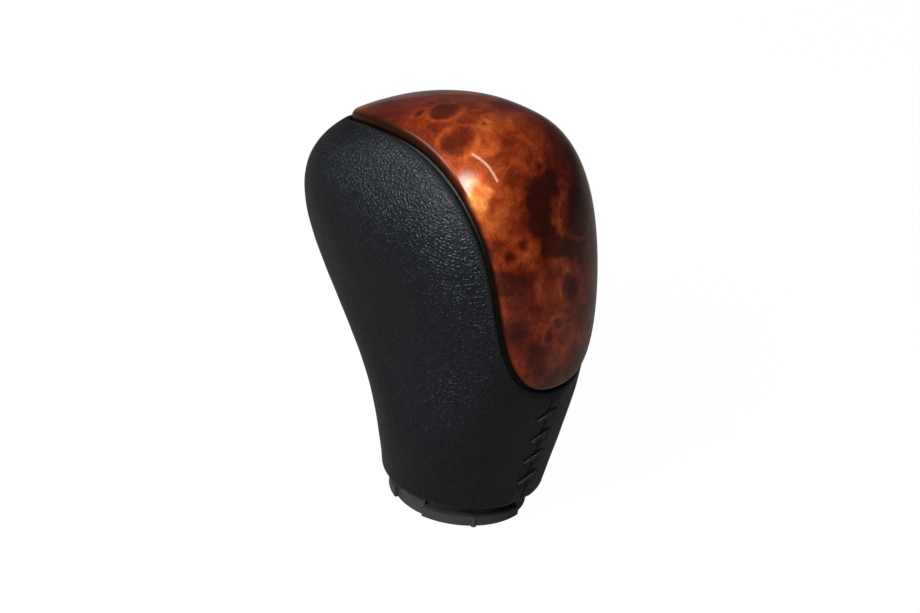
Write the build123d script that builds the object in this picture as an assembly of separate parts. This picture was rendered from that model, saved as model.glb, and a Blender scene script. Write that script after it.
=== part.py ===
"""Gear shift knob: a leather-wrapped grip with a burl wood trim over its crown and front."""
from build123d import *
import math
import os

# Frame: the lever's axis is Z, and the collar stands on Z 0.
# The trim faces +X, the cheeks face +Y and -Y, and the head overhangs towards -X.
# Lengths are millimetres and angles are degrees.

# Grip form: the outside of the leather, as heights and reaches from the lever's axis
EDGE_HEIGHT = 4.9
NECK_RADIUS = 16.6
WAIST_HEIGHT = 21.1
WAIST_FRONT = 19.05
WAIST_BACK = 19.75
WAIST_HALF_WIDTH = 19.5
MIDDLE_HEIGHT = 38.9
MIDDLE_FRONT = 21.5
MIDDLE_BACK = 33.25
MIDDLE_HALF_WIDTH = 19.8
HEAD_HEIGHT = 61.0
HEAD_FRONT = 18.25
HEAD_BACK = 43.65
CHEEK_HEIGHT = 64.75
CHEEK_HALF_WIDTH = 21.55
CROWN_HEIGHT = 83.5
CROWN_OFFSET = 1.1

# Character of the form: how its profiles leave the neck and round over the crown
FRONT_LEAN = 0.14
BACK_LEAN = 0.10
SIDE_LEAN = 0.23
SIDE_VIEW_ROUNDNESS = 1.05
FRONT_VIEW_ROUNDNESS = 1.29
NECK_POWER = 2.0
HEAD_POWER = 2.5
HEAD_POWER_HEIGHT = 46.0

# Border between wood and leather in the side view
BORDER_BACK_HEIGHT = 67.5
BORDER_CREST_BEHIND = 16.0
BORDER_CREST_DROP = 6.3
SHOULDER_HEIGHT = 72.3
SHOULDER_SETBACK = 10.3
TEMPLE_HEIGHT = 63.1
TEMPLE_SETBACK = 6.05
FLANK_HEIGHT = 48.2
FLANK_SETBACK = 4.7
TIP_RUNOUT_HEIGHT = 29.5
BORDER_OVERRUN = 2.7
BORDER_GAP = 0.5

# Walls and edges
LEATHER_THICKNESS = 1.5
BOND_GAP = 0.15
TRIM_PROUD = 0.7
TRIM_EDGE_RADIUS = 1.9
LEATHER_EDGE_RADIUS = 0.6
HEM_RADIUS = 1.2

# Front seam and its lacing
SEAM_SLIT = 0.3
VALLEY_DEPTH = 0.8
VALLEY_MARGIN = 0.6
STITCH_HALF_SPAN = 2.4
STITCH_RISE = 1.3
STITCH_PITCH = 5.2
FIRST_STITCH_ABOVE_EDGE = 6.4
LAST_STITCH_BELOW_TIP = 4.0
THREAD_RADIUS = 0.35
THREAD_BEND = 0.6
THREAD_CLEARANCE = 0.08

# Trim pegs
PEG_RADIUS = 2.0
PEG_LENGTH = 7.0
PEG_TILT = 50.0
PEG_CLEARANCE = 0.15
FRONT_PEG_HEIGHT = 52.0
CROWN_PEG_BEHIND = 12.0

# Lever well and thread insert
WELL_RADIUS = 7.1
INSERT_TOP = 56.0
INSERT_LENGTH = 22.0
INSERT_RADIUS = 6.5
INSERT_CLEARANCE = 0.1
THREAD_BORE_RADIUS = 3.4
INSERT_GROOVE_WIDTH = 2.0
INSERT_GROOVE_DEPTH = 0.7
INSERT_BANDS = 3
INSERT_MOUTH_CHAMFER = 0.8

# Base collar
LIP_RADIUS = 14.8
LIP_HEIGHT = 2.2
BLOCK_RADIUS = 13.9
GROOVE_RADIUS = 12.6
RAMP_RADIUS = 13.3
GROOVE_START = -78.0
GROOVE_SPAN = 86.0
COLLAR_SECTORS = 3
DETENT_RADIUS = 0.6
FLANGE_RADIUS = 14.9
FLANGE_THICKNESS = 0.5
COLLAR_BORE_RADIUS = 9.0
SPIGOT_RADIUS = 11.0
SPIGOT_LENGTH = 6.0
SPIGOT_CLEARANCE = 0.1
SPIGOT_SLOT_WIDTH = 2.0
SNAP_RADIUS = 0.5
SNAP_ABOVE_FLANGE = 3.6
COLLAR_EDGE_RADIUS = 0.4

# Fineness of the modelled curves
PROFILE_SAMPLES = 240
SECTION_POINTS = 24
SECTION_COUNT = 12
BORDER_POINTS = 18
FORM_SKIRT = 2.0
RIBBON_REACH = 3.0
SLOPE_STEP = 0.05
HALVINGS = 40
TOOL_REACH = 100.0

CORE_INSET = LEATHER_THICKNESS + BOND_GAP


def sampled_profile(stations, lean, roundness):
    """Rising profile, level at the crown: rows of reach, height and outward normal."""
    line = Spline(
        *[(reach, 0, height) for reach, height in stations],
        tangents=[(lean, 0, 1), (-1, 0, 0)],
        tangent_scalars=[1, roundness],
    )
    rows = []
    for i in range(PROFILE_SAMPLES + 1):
        point = line @ (i / PROFILE_SAMPLES)
        along = line % (i / PROFILE_SAMPLES)
        rows.append((point.X, point.Z, along.Z, -along.X))
    return rows


NECK = (NECK_RADIUS, EDGE_HEIGHT)
FRONT_PROFILE = sampled_profile(
    [NECK, (WAIST_FRONT, WAIST_HEIGHT), (MIDDLE_FRONT, MIDDLE_HEIGHT), (HEAD_FRONT, HEAD_HEIGHT),
     (CROWN_OFFSET, CROWN_HEIGHT)], FRONT_LEAN, SIDE_VIEW_ROUNDNESS)
BACK_PROFILE = sampled_profile(
    [NECK, (WAIST_BACK, WAIST_HEIGHT), (MIDDLE_BACK, MIDDLE_HEIGHT), (HEAD_BACK, HEAD_HEIGHT),
     (-CROWN_OFFSET, CROWN_HEIGHT)], BACK_LEAN, SIDE_VIEW_ROUNDNESS)
SIDE_PROFILE = sampled_profile(
    [NECK, (WAIST_HALF_WIDTH, WAIST_HEIGHT), (MIDDLE_HALF_WIDTH, MIDDLE_HEIGHT),
     (CHEEK_HALF_WIDTH, CHEEK_HEIGHT), (0, CROWN_HEIGHT)], SIDE_LEAN, FRONT_VIEW_ROUNDNESS)


def reach_at(profile, height, inset=0.0):
    """Reach of a profile at a height, once it is moved inwards along its normals."""
    moved = [(reach - inset * out, z - inset * up) for reach, z, out, up in profile]
    k = 0
    while k < len(moved) - 2 and moved[k + 1][1] < height:
        k += 1
    (reach_0, z_0), (reach_1, z_1) = moved[k], moved[k + 1]
    return reach_0 + (reach_1 - reach_0) * (height - z_0) / (z_1 - z_0)


def section_at(height, inset=0.0):
    """Centre, half depth, half width and power of the form's rounded section."""
    front = reach_at(FRONT_PROFILE, height, inset)
    back = reach_at(BACK_PROFILE, height, inset)
    share = min(max((height - EDGE_HEIGHT) / (HEAD_POWER_HEIGHT - EDGE_HEIGHT), 0), 1)
    power = NECK_POWER + (HEAD_POWER - NECK_POWER) * share * share * (3 - 2 * share)
    return (front - back) / 2, (front + back) / 2, reach_at(SIDE_PROFILE, height, inset), power


def section_wire(height, inset):
    """Closed outline of the form at a height."""
    centre, depth, width, power = section_at(height, inset)
    points = []
    for i in range(SECTION_POINTS):
        turn = 2 * math.pi * i / SECTION_POINTS
        ahead = math.copysign(abs(math.cos(turn)) ** (2 / power), math.cos(turn))
        across = math.copysign(abs(math.sin(turn)) ** (2 / power), math.sin(turn))
        points.append(Vector(centre + depth * ahead, width * across, height))
    return Wire([Edge.make_spline(points, periodic=True)])


def grip_form(inset):
    """The whole form, moved inwards by inset, from below the leather edge up to its crown."""
    low = EDGE_HEIGHT - FORM_SKIRT
    top = CROWN_HEIGHT - inset
    wires = []
    for i in range(SECTION_COUNT):
        height = low + (top - low) * math.sin(math.pi / 2 * i / SECTION_COUNT)
        wires.append(section_wire(height, inset))
    return Solid.make_loft(wires + [Vertex(CROWN_OFFSET, 0, top)])


def form_level(x, y, z):
    """1 on the form's outside, less within it and more beyond it."""
    centre, depth, width, power = section_at(z)
    return (abs((x - centre) / depth) ** power + abs(y / width) ** power) ** (1 / power)


def form_normal(point):
    """Outward direction of the form at a point on it."""
    steps = (Vector(SLOPE_STEP, 0, 0), Vector(0, SLOPE_STEP, 0), Vector(0, 0, SLOPE_STEP))
    slopes = [form_level(*(point + step)) - form_level(*(point - step)) for step in steps]
    return Vector(*slopes).normalized()


def border_line():
    """Side view of the border, from behind the crown down past the front."""
    set_back = (
        (SHOULDER_HEIGHT, SHOULDER_SETBACK),
        (TEMPLE_HEIGHT, TEMPLE_SETBACK),
        (FLANK_HEIGHT, FLANK_SETBACK),
        (TIP_RUNOUT_HEIGHT, -BORDER_OVERRUN),
    )
    stations = [(reach_at(FRONT_PROFILE, z) - back, 0, z) for z, back in set_back]
    behind = (-reach_at(BACK_PROFILE, BORDER_BACK_HEIGHT) - BORDER_OVERRUN, 0, BORDER_BACK_HEIGHT)
    crest = (-BORDER_CREST_BEHIND, 0, CROWN_HEIGHT - BORDER_CREST_DROP)
    return Spline(behind, crest, *stations)


def border_loop():
    """Closed loop of border points on the form, from behind the crown round the tip and back."""
    line = border_line()

    def on_cheek(u):
        spot = line @ u
        centre, depth, width, power = section_at(spot.Z)
        room = 1 - abs((spot.X - centre) / depth) ** power
        return spot, room, width * max(room, 0) ** (1 / power)

    def leaves_form(inside, outside):
        for _ in range(HALVINGS):
            middle = (inside + outside) / 2
            if on_cheek(middle)[1] > 0:
                inside = middle
            else:
                outside = middle
        return inside

    midway = 0.5
    first = leaves_form(midway, 0)
    last = leaves_form(midway, 1)
    near = []
    for i in range(BORDER_POINTS + 1):
        share = (1 - math.cos(math.pi * i / BORDER_POINTS)) / 2
        spot, _, half = on_cheek(first + (last - first) * share)
        near.append(Vector(spot.X, -half, spot.Z))
    far = [Vector(p.X, -p.Y, p.Z) for p in near[-2:0:-1]]
    return near + far


BORDER = border_loop()
TIP_HEIGHT = BORDER[BORDER_POINTS].Z


def border_ribbon(shift):
    """Band square to the form that parts wood from leather, moved by shift towards the leather."""
    normals = [form_normal(point) for point in BORDER]
    wires = []
    for distance in (-RIBBON_REACH - LEATHER_THICKNESS, RIBBON_REACH):
        points = []
        for i, point in enumerate(BORDER):
            along = BORDER[(i + 1) % len(BORDER)] - BORDER[i - 1]
            aside = along.cross(normals[i]).normalized()
            points.append(point + aside * shift + normals[i] * distance)
        wires.append(Wire([Edge.make_spline(points, periodic=True)]))
    return Shell.make_loft(wires, ruled=True)


def parted(shell, shift):
    """The two sides of a shell cut by the border: lower first, then upper."""
    pieces = split(shell, bisect_by=border_ribbon(shift), keep=Keep.ALL).solids()
    return sorted(pieces, key=lambda piece: piece.bounding_box().max.Z)


def border_edges(piece):
    """Edges where the outside of a cut shell meets its border wall."""
    outside = max(piece.faces(), key=lambda face: face.area)
    middle = Vertex(*BORDER[BORDER_POINTS // 2])
    wall = min((face for face in piece.faces() if not face.is_same(outside)), key=middle.distance_to)
    return [edge for edge in outside.edges() if any(edge.is_same(other) for other in wall.edges())]


def disc(radius, low, high):
    """Plain disc about the lever's axis."""
    return Pos(0, 0, low) * extrude(Circle(radius), high - low)


def ring(outer, inner, low, high):
    """Plain ring about the lever's axis."""
    return disc(outer, low, high) - disc(inner, low, high)


def sector(radius, start, span, low, high):
    """Pie slice about the lever's axis."""
    arc = CenterArc((0, 0), radius, start, span)
    outline = [Line((0, 0), arc @ 0), arc, Line(arc @ 1, (0, 0))]
    return Pos(0, 0, low) * extrude(make_face(outline), high - low)


def stitch_heights():
    """Heights of the lacing's stitches, from the neck up to below the trim's tip."""
    first = EDGE_HEIGHT + FIRST_STITCH_ABOVE_EDGE
    room = TIP_HEIGHT - LAST_STITCH_BELOW_TIP - first
    return [first + STITCH_PITCH * i for i in range(int(room / STITCH_PITCH) + 1)]


def seam_path(inset):
    """Front line of the form from below its edge to above the trim's tip."""
    low = EDGE_HEIGHT - FORM_SKIRT
    high = TIP_HEIGHT + FORM_SKIRT
    heights = [low + (high - low) * share for share in (0, 1 / 3, 2 / 3, 1)]
    return Spline(*[(reach_at(FRONT_PROFILE, z, inset), 0, z) for z in heights])


def seam_prism(outline, inset):
    """An outline of across and outwards distances, swept along the front line."""
    path = seam_path(inset)
    plane = Plane(path @ 0, x_dir=(0, -1, 0), z_dir=path % 0)
    return sweep(plane * make_face(Polyline(*outline, close=True)), path)


def stitch_depths():
    """How far the thread's middle lies within the front line, on the leather and under it."""
    half = STITCH_HALF_SPAN
    fall = half * half / (2 * NECK_RADIUS)
    dip = VALLEY_DEPTH * VALLEY_MARGIN / (half + VALLEY_MARGIN)
    over = fall + dip - THREAD_RADIUS - THREAD_CLEARANCE
    under = fall + CORE_INSET + THREAD_RADIUS + THREAD_CLEARANCE
    return over, under


def make_grip_core():
    """Moulded core with the lever well, the collar's seat, the seam channel and peg sockets."""
    core = grip_form(CORE_INSET)
    core -= disc(TOOL_REACH, 0, EDGE_HEIGHT)
    core -= disc(INSERT_RADIUS + INSERT_CLEARANCE, 0, INSERT_TOP)
    core -= disc(WELL_RADIUS, 0, INSERT_TOP - INSERT_LENGTH)
    seat_top = EDGE_HEIGHT + SPIGOT_LENGTH + SPIGOT_CLEARANCE
    core -= disc(SPIGOT_RADIUS + SPIGOT_CLEARANCE, 0, seat_top)
    core -= snap_bead(SNAP_RADIUS + SPIGOT_CLEARANCE)
    _, under = stitch_depths()
    half = STITCH_HALF_SPAN + VALLEY_MARGIN
    floor = CORE_INSET - under - THREAD_RADIUS - THREAD_CLEARANCE
    core -= seam_prism([(-half, CORE_INSET), (half, CORE_INSET), (half, floor), (-half, floor)], CORE_INSET)
    return core.cut(*trim_pegs(PEG_CLEARANCE)).solid()


def snap_bead(radius):
    """Round bead on the collar's spigot, or the groove that takes it."""
    height = EDGE_HEIGHT + SNAP_ABOVE_FLANGE
    profile = Plane.XZ * Pos(SPIGOT_RADIUS - SNAP_RADIUS / 2, height) * Circle(radius)
    return revolve(profile, Axis.Z)


def trim_pegs(clearance):
    """The trim's pegs along its fitting direction, or their sockets with a clearance."""
    tilt = math.radians(PEG_TILT)
    inwards = Vector(-math.cos(tilt), 0, -math.sin(tilt))
    roots = (
        Vector(reach_at(FRONT_PROFILE, FRONT_PEG_HEIGHT, LEATHER_THICKNESS / 2), 0, FRONT_PEG_HEIGHT),
        crown_peg_root(),
    )
    pegs = []
    for root in roots:
        plane = Plane(root, z_dir=inwards)
        pegs.append(extrude(plane * Circle(PEG_RADIUS + clearance), PEG_LENGTH + clearance))
    return pegs


def crown_peg_root():
    """Point inside the trim's wall behind the crown."""
    height = CROWN_HEIGHT
    while reach_at(BACK_PROFILE, height, LEATHER_THICKNESS / 2) < CROWN_PEG_BEHIND:
        height -= SLOPE_STEP
    return Vector(-CROWN_PEG_BEHIND, 0, height)


def make_thread_insert():
    """Brass bush with grooved bands outside and the lever's thread bore inside."""
    low = INSERT_TOP - INSERT_LENGTH
    insert = ring(INSERT_RADIUS, THREAD_BORE_RADIUS, low, INSERT_TOP)
    pitch = INSERT_LENGTH / INSERT_BANDS
    half = INSERT_GROOVE_WIDTH / 2
    for i in range(1, INSERT_BANDS):
        middle = low + pitch * i
        insert -= ring(TOOL_REACH, INSERT_RADIUS - INSERT_GROOVE_DEPTH, middle - half, middle + half)
    lowest_circles = insert.edges().filter_by(GeomType.CIRCLE).group_by(Axis.Z)[0]
    mouth = min(lowest_circles, key=lambda edge: edge.radius)
    return chamfer(mouth, INSERT_MOUTH_CHAMFER).solid()


def make_leather_wrap():
    """Leather shell below the border, slit and grooved down its front seam."""
    shell = grip_form(0) - grip_form(LEATHER_THICKNESS)
    shell -= disc(TOOL_REACH, 0, EDGE_HEIGHT)
    wrap = parted(shell, BORDER_GAP / 2)[0]
    wrap = wrap.fillet(LEATHER_EDGE_RADIUS, border_edges(wrap))
    foot = wrap.faces().sort_by(Axis.Z)[0]
    hem = max(foot.wires(), key=lambda wire: wire.length)
    wrap = wrap.fillet(HEM_RADIUS, hem.edges())
    half = STITCH_HALF_SPAN + VALLEY_MARGIN
    fall = half * half / (2 * NECK_RADIUS)
    brow = VALLEY_DEPTH - fall
    valley = seam_prism([(-2 * half, brow), (2 * half, brow), (0, -VALLEY_DEPTH - fall)], 0)
    slit = SEAM_SLIT / 2
    floor = -2 * CORE_INSET
    opening = seam_prism([(-slit, brow), (slit, brow), (slit, floor), (-slit, floor)], 0)
    return wrap.cut(valley, opening, *stitch_holes()).solid()


def stitch_holes():
    """Awl holes on both sides of the seam."""
    holes = []
    deep = 2 * CORE_INSET
    for height in stitch_heights():
        for side in (-1, 1):
            z = height + side * STITCH_RISE / 2
            plane = Plane((reach_at(FRONT_PROFILE, z), side * STITCH_HALF_SPAN, z), z_dir=(1, 0, 0))
            hole = plane * Circle(THREAD_RADIUS + THREAD_CLEARANCE)
            holes.append(extrude(hole, deep, both=True))
    return holes


def make_seam_lacing():
    """One thread that laces the seam: across on the leather, back up under it."""
    over, under = stitch_depths()
    points = []
    for height in stitch_heights():
        for side, depths in ((-1, (under, over)), (1, (over, under))):
            z = height + side * STITCH_RISE / 2
            for depth in depths:
                points.append((reach_at(FRONT_PROFILE, z) - depth, side * STITCH_HALF_SPAN, z))
    path = FilletPolyline(*points, radius=THREAD_BEND)
    return sweep(Plane(path @ 0, z_dir=path % 0) * Circle(THREAD_RADIUS), path).solid()


def make_wood_trim():
    """Trim shell above the border, a little proud of the leather, with a rolled edge and pegs."""
    shell = grip_form(-TRIM_PROUD) - grip_form(LEATHER_THICKNESS)
    trim = parted(shell, -BORDER_GAP / 2)[1]
    trim = trim.fillet(TRIM_EDGE_RADIUS, border_edges(trim))
    return trim.fuse(*trim_pegs(0)).solid()


def make_base_collar():
    """Collar ring with the boot's grooves, a flange under the leather and a snap-in spigot."""
    flange_low = EDGE_HEIGHT - FLANGE_THICKNESS
    collar = disc(LIP_RADIUS, 0, flange_low)
    collar = fillet(collar.edges().sort_by(Axis.Z)[0], COLLAR_EDGE_RADIUS)
    collar -= disc(COLLAR_BORE_RADIUS, 0, flange_low)
    step = 360 / COLLAR_SECTORS
    for i in range(COLLAR_SECTORS):
        start = GROOVE_START + step * i
        middle = start + GROOVE_SPAN / 2
        block = sector(TOOL_REACH, start + GROOVE_SPAN, step - GROOVE_SPAN, 0, flange_low)
        collar -= block - disc(BLOCK_RADIUS, 0, flange_low)
        slot = sector(TOOL_REACH, start, GROOVE_SPAN / 2, LIP_HEIGHT, flange_low)
        collar -= slot - disc(GROOVE_RADIUS, 0, flange_low)
        ramp = sector(TOOL_REACH, middle, GROOVE_SPAN / 2, LIP_HEIGHT, flange_low)
        collar -= ramp - disc(RAMP_RADIUS, 0, flange_low)
        detent = Rot(0, 0, middle) * Pos(LIP_RADIUS - DETENT_RADIUS / 2, 0, 0)
        collar += detent * extrude(Circle(DETENT_RADIUS), LIP_HEIGHT)
    collar += ring(FLANGE_RADIUS, COLLAR_BORE_RADIUS, flange_low, EDGE_HEIGHT)
    spigot = ring(SPIGOT_RADIUS, COLLAR_BORE_RADIUS, EDGE_HEIGHT, EDGE_HEIGHT + SPIGOT_LENGTH)
    spigot += snap_bead(SNAP_RADIUS)
    spigot -= disc(COLLAR_BORE_RADIUS, 0, TOOL_REACH)
    for i in range(COLLAR_SECTORS):
        slot = extrude(Pos(SPIGOT_RADIUS, 0) * Rectangle(2 * SPIGOT_RADIUS, SPIGOT_SLOT_WIDTH), SPIGOT_LENGTH)
        spigot -= Pos(0, 0, EDGE_HEIGHT) * Rot(0, 0, GROOVE_START + step * i) * slot
    return (collar + spigot).solid()


def main():
    os.makedirs("parts", exist_ok=True)
    pieces = {
        "grip_core": make_grip_core(),
        "thread_insert": make_thread_insert(),
        "leather_wrap": make_leather_wrap(),
        "seam_lacing": make_seam_lacing(),
        "wood_trim": make_wood_trim(),
        "base_collar": make_base_collar(),
    }
    for name, shape in pieces.items():
        export_step(shape, f"parts/{name}.step")


main()
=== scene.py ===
"""Gear shift knob: laced leather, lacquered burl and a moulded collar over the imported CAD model."""
import math

import bpy
import numpy as np
from mathutils import Matrix, Vector


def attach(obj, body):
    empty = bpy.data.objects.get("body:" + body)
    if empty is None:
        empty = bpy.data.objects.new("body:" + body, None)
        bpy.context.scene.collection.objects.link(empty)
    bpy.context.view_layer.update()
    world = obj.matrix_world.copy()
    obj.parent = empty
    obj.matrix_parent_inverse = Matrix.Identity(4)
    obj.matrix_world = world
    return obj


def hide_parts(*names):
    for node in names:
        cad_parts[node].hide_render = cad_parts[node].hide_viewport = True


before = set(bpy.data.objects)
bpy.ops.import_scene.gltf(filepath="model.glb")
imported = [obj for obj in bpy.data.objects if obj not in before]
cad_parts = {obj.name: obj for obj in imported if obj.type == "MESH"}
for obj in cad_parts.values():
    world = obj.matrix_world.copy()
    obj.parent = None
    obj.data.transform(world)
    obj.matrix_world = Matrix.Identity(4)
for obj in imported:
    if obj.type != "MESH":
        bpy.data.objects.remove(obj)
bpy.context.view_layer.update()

# Shapes are worked out in millimetres in the CAD frame, and meshes are made in metres.
MM = 0.001
MIRROR = (1, -1, 1)

# Grip form, as in the CAD source: heights and reaches from the lever's axis
EDGE_HEIGHT = 4.9
NECK_RADIUS = 16.6
WAIST_HEIGHT = 21.1
WAIST_FRONT = 19.05
WAIST_BACK = 19.75
WAIST_HALF_WIDTH = 19.5
MIDDLE_HEIGHT = 38.9
MIDDLE_FRONT = 21.5
MIDDLE_BACK = 33.25
MIDDLE_HALF_WIDTH = 19.8
HEAD_HEIGHT = 61.0
HEAD_FRONT = 18.25
HEAD_BACK = 43.65
CHEEK_HEIGHT = 64.75
CHEEK_HALF_WIDTH = 21.55
CROWN_HEIGHT = 83.5
CROWN_OFFSET = 1.1
FRONT_LEAN = 0.14
BACK_LEAN = 0.10
SIDE_LEAN = 0.23
SIDE_VIEW_ROUNDNESS = 1.05
FRONT_VIEW_ROUNDNESS = 1.29
NECK_POWER = 2.0
HEAD_POWER = 2.5
HEAD_POWER_HEIGHT = 46.0

# Border between wood and leather in the side view, as in the CAD source
BORDER_BACK_HEIGHT = 67.5
BORDER_CREST_BEHIND = 16.0
BORDER_CREST_DROP = 6.3
SHOULDER_HEIGHT = 72.3
SHOULDER_SETBACK = 10.3
TEMPLE_HEIGHT = 63.1
TEMPLE_SETBACK = 6.05
FLANK_HEIGHT = 48.2
FLANK_SETBACK = 4.7
TIP_RUNOUT_HEIGHT = 29.5
BORDER_OVERRUN = 2.7
BORDER_GAP = 0.5
HALF_GAP = BORDER_GAP / 2

# Walls, edges and lacing, as in the CAD source
LEATHER_THICKNESS = 1.5
CORE_INSET = 1.65
TRIM_PROUD = 0.7
TRIM_EDGE_RADIUS = 1.9
LEATHER_EDGE_RADIUS = 0.6
HEM_RADIUS = 1.2
VALLEY_DEPTH = 0.8
VALLEY_MARGIN = 0.6
STITCH_HALF_SPAN = 2.4
STITCH_RISE = 1.3
STITCH_PITCH = 5.2
FIRST_STITCH_ABOVE_EDGE = 6.4
LAST_STITCH_BELOW_TIP = 4.0
THREAD_RADIUS = 0.35
THREAD_CLEARANCE = 0.08

# Relief of the leather that the plain CAD shell leaves out
FOLD_DEPTH = 0.34
FOLD_HALF_WIDTH = 0.26
LIP_RISE = 0.1
LIP_OFFSET = 0.95
LIP_HALF_WIDTH = 0.45
BOWL_DEPTH = 0.35
BOWL_HALF_WIDTH = 3.4
STITCH_PRESS = 0.24
STITCH_PRESS_HALF_WIDTH = 0.42
HOLE_DEPTH = 0.35
HOLE_RADIUS = 0.48
PUCKER_RISE = 0.3
PUCKER_HALF_WIDTH = 4.6
PLEAT_RISE = 0.13
PLEAT_WIDTH = 1.25
PLEAT_REACH = 4.8
PLEAT_LENGTH = 5.0
PLEAT_FADE = 0.7
SLACK = 0.05

# The slack's two parts: a share, and two waves by radians per millimetre along X, Y and Z, and a phase
SLACK_WAVES = (
    (1.0, ((0.31, 0.0, 0.19), 0.6), ((0.0, 0.27, -0.22), 1.9)),
    (0.5, ((0.0, 0.53, 0.71), 0.4), ((0.63, 0.0, 0.0), 2.2)),
)

# Shares of a leather column's height over which relief fades, above the hem and below the border
HEM_FADE = 0.04
BORDER_FADE = 0.05

# Painted shade along the border, where the wood's rolled edge and the leather's turn away from the light
# into the gap: its name on the meshes, and its distances from the border on each
EDGE_SHADE = "edge_shade"
WOOD_SHADE = (1.1, 2.7)
LEATHER_SHADE = (0.8, 1.8)
# The painted shade is wider over the crest, where the wood's rolled edge turns further from the light, and
# narrower on the flank
SHADE_HEIGHTS = (62.0, 75.0)
WOOD_FLANK_SHARE = 0.58
LEATHER_FLANK_SHARE = 1.0

# Thread of the lacing: two plies twisted together
PLY_RADIUS = 0.2
PLY_OFFSET = 0.17
PLY_TURN_LENGTH = 1.3
PLY_SIDES = 8
THREAD_STEP = 0.07
CORNER_CUTS = 5
CORNER_SHARE = 0.25

# A direction that no thread starts along
ASKEW = (0.3, 0.5, 0.8)

# Fineness of the meshes
PROFILE_SAMPLES = 4000
SLOPE_STEP = 0.1
SURFACE_STEPS = 6
SEAM_ZONE = 5.0
SEAM_STEP = 0.115
COLUMN_STEP = 0.6
LEATHER_ROWS = 185
ROLL_ROWS = 7
TRIM_ROLL_ROWS = 14
INNER_ROWS = 10
RUNGS = 190
RUNG_STEPS = 110
DENSE_STEPS = 3 * RUNG_STEPS
HALVINGS = 44

# Lengths along the border from the tip between which the leather's columns go from straight to evenly turned
COLUMN_BLEND = (6.0, 30.0)


def unit(vectors):
    """Vectors at length 1."""
    return vectors / np.linalg.norm(vectors, axis=-1, keepdims=True)


def smooth(share):
    """Smooth step from 0 to 1 as share goes from 0 to 1."""
    share = np.clip(share, 0, 1)
    return share * share * (3 - 2 * share)


def run_lengths(points):
    """Lengths along a line of points, from 0 at its first."""
    return np.r_[0, np.cumsum(np.linalg.norm(np.diff(points, axis=0), axis=1))]


def points_at(stops, lengths, points):
    """Points of a line at these lengths along it."""
    return np.stack([np.interp(stops, lengths, column) for column in points.T], -1)


def evenly(points, count):
    """Points at even steps along a line."""
    lengths = run_lengths(points)
    return points_at(np.linspace(0, lengths[-1], count), lengths, points)


def end_slope(points, knots):
    """Slope at the first of four points of the cubic through them."""
    terms = np.linalg.solve(np.vander(knots - knots[0], 4), points)
    return terms[2]


def spline_rows(stations, start=None, end=None):
    """Smooth curve through stations, by chord length: dense points and unit directions along it."""
    points = np.array(stations, float)
    knots = run_lengths(points)
    steps = np.diff(knots)
    count = len(points)
    rows = np.zeros((count, count))
    wanted = np.zeros_like(points)
    rows[0, 0] = rows[-1, -1] = 1
    wanted[0] = end_slope(points[:4], knots[:4]) if start is None else start
    wanted[-1] = end_slope(points[:-5:-1], knots[:-5:-1]) if end is None else end
    for i in range(1, count - 1):
        before, after = steps[i - 1], steps[i]
        rows[i, i - 1:i + 2] = after, 2 * (before + after), before
        rise = (points[i] - points[i - 1]) * after / before + (points[i + 1] - points[i]) * before / after
        wanted[i] = 3 * rise
    tangents = np.linalg.solve(rows, wanted)
    at = np.linspace(0, knots[-1], PROFILE_SAMPLES)
    k = np.clip(np.searchsorted(knots, at, side="right") - 1, 0, count - 2)
    span = steps[k][:, None]
    s = (at - knots[k])[:, None] / span
    p, q, u, v = points[k], points[k + 1], tangents[k] * span, tangents[k + 1] * span
    bend = 2 * p - 2 * q + u + v
    lean = 3 * q - 3 * p - 2 * u - v
    return p + s * (u + s * (lean + s * bend)), unit(u + s * (2 * lean + s * 3 * bend))


def profile(stations, lean, roundness):
    """Rising profile, level at the crown: rows of reach and height, and their outward normals."""
    line, along = spline_rows(stations, (lean, 1), (-roundness, 0))
    return line, np.stack([along[:, 1], -along[:, 0]], -1)


NECK = (NECK_RADIUS, EDGE_HEIGHT)
FRONT = profile(
    [NECK, (WAIST_FRONT, WAIST_HEIGHT), (MIDDLE_FRONT, MIDDLE_HEIGHT), (HEAD_FRONT, HEAD_HEIGHT),
     (CROWN_OFFSET, CROWN_HEIGHT)], FRONT_LEAN, SIDE_VIEW_ROUNDNESS)
BACK = profile(
    [NECK, (WAIST_BACK, WAIST_HEIGHT), (MIDDLE_BACK, MIDDLE_HEIGHT), (HEAD_BACK, HEAD_HEIGHT),
     (-CROWN_OFFSET, CROWN_HEIGHT)], BACK_LEAN, SIDE_VIEW_ROUNDNESS)
SIDE = profile(
    [NECK, (WAIST_HALF_WIDTH, WAIST_HEIGHT), (MIDDLE_HALF_WIDTH, MIDDLE_HEIGHT),
     (CHEEK_HALF_WIDTH, CHEEK_HEIGHT), (0, CROWN_HEIGHT)], SIDE_LEAN, FRONT_VIEW_ROUNDNESS)


def reach(line_and_normals, height, inset=0.0):
    """Reach of a profile at heights, once it is moved inwards along its normals."""
    line, normals = line_and_normals
    moved = line - inset * normals
    return np.interp(height, moved[:, 1], moved[:, 0])


def sections(height, inset=0.0):
    """Centre, half depth, half width and power of the form's rounded sections."""
    front = reach(FRONT, height, inset)
    back = reach(BACK, height, inset)
    tiny = 1e-6
    share = smooth((height - EDGE_HEIGHT) / (HEAD_POWER_HEIGHT - EDGE_HEIGHT))
    depth = np.maximum((front + back) / 2, tiny)
    width = np.maximum(reach(SIDE, height, inset), tiny)
    return (front - back) / 2, depth, width, NECK_POWER + (HEAD_POWER - NECK_POWER) * share


def level(points, inset=0.0):
    """1 on the form's outside, less within it and more beyond it."""
    centre, depth, width, power = sections(points[..., 2], inset)
    ahead = np.abs((points[..., 0] - centre) / depth) ** power
    across = np.abs(points[..., 1] / width) ** power
    return (ahead + across) ** (1 / power)


def slopes(points, inset=0.0):
    """Slope of the level along X, Y and Z."""
    steps = np.eye(3) * SLOPE_STEP
    found = [level(points + step, inset) - level(points - step, inset) for step in steps]
    return np.stack(found, -1) / (2 * SLOPE_STEP)


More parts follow.
